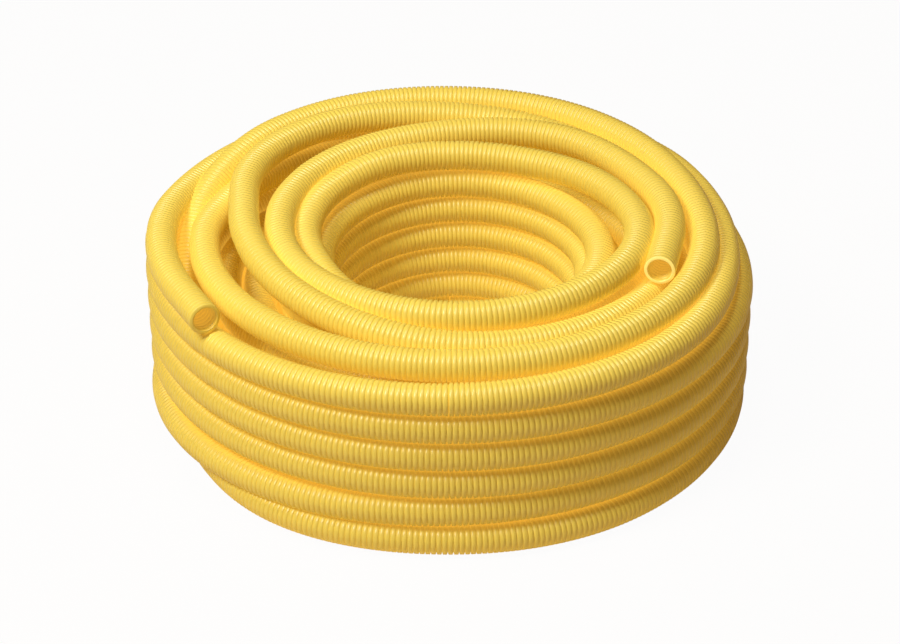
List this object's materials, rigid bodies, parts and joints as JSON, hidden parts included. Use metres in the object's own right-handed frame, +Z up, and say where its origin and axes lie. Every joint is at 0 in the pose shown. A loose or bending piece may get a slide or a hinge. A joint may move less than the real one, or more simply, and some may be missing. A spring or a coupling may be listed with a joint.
{
  "type": "corrugated conduit",
  "caption": "Coil of corrugated plastic conduit, wound in even turns round an open eye, lying flat with both cut ends on top.",
  "frame": {"origin": "bottom centre of the coil's bounding box, on the surface that it lies on", "axes": "+Z up along the coil's own axis; -Y is the front, where the two open ends look; +X to the right"},
  "size_m": [0.501, 0.501, 0.1816],
  "materials": {
    "conduit": "satin extruded PVC, yellow"
  },
  "bodies": {
    "root": {"conduit": "conduit"}
  },
  "joints": []
}
